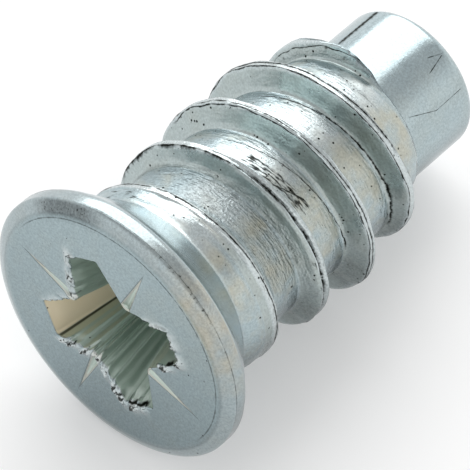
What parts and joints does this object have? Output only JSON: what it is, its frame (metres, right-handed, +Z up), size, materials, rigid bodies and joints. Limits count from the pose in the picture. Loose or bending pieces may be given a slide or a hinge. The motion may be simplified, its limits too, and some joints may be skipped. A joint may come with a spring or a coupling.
{
  "type": "euro screw",
  "caption": "Short countersunk cabinet screw with a coarse thread, a plain pilot tip and a cross drive recess with tick marks, in zinc-plated steel.",
  "frame": {"origin": "middle of the box around the screw, on the surface that it lies on", "axes": "+X runs along the screw towards its tip, which points a little down; +Y across it; +Z up from the surface that it lies on"},
  "size_m": [0.0124, 0.0078, 0.0077],
  "materials": {
    "zinc_plated_steel": "bright blue-white zinc plating, slightly pitted, with rolled seams on the thread crests"
  },
  "bodies": {
    "root": {"euro_screw": "zinc_plated_steel"}
  },
  "joints": []
}
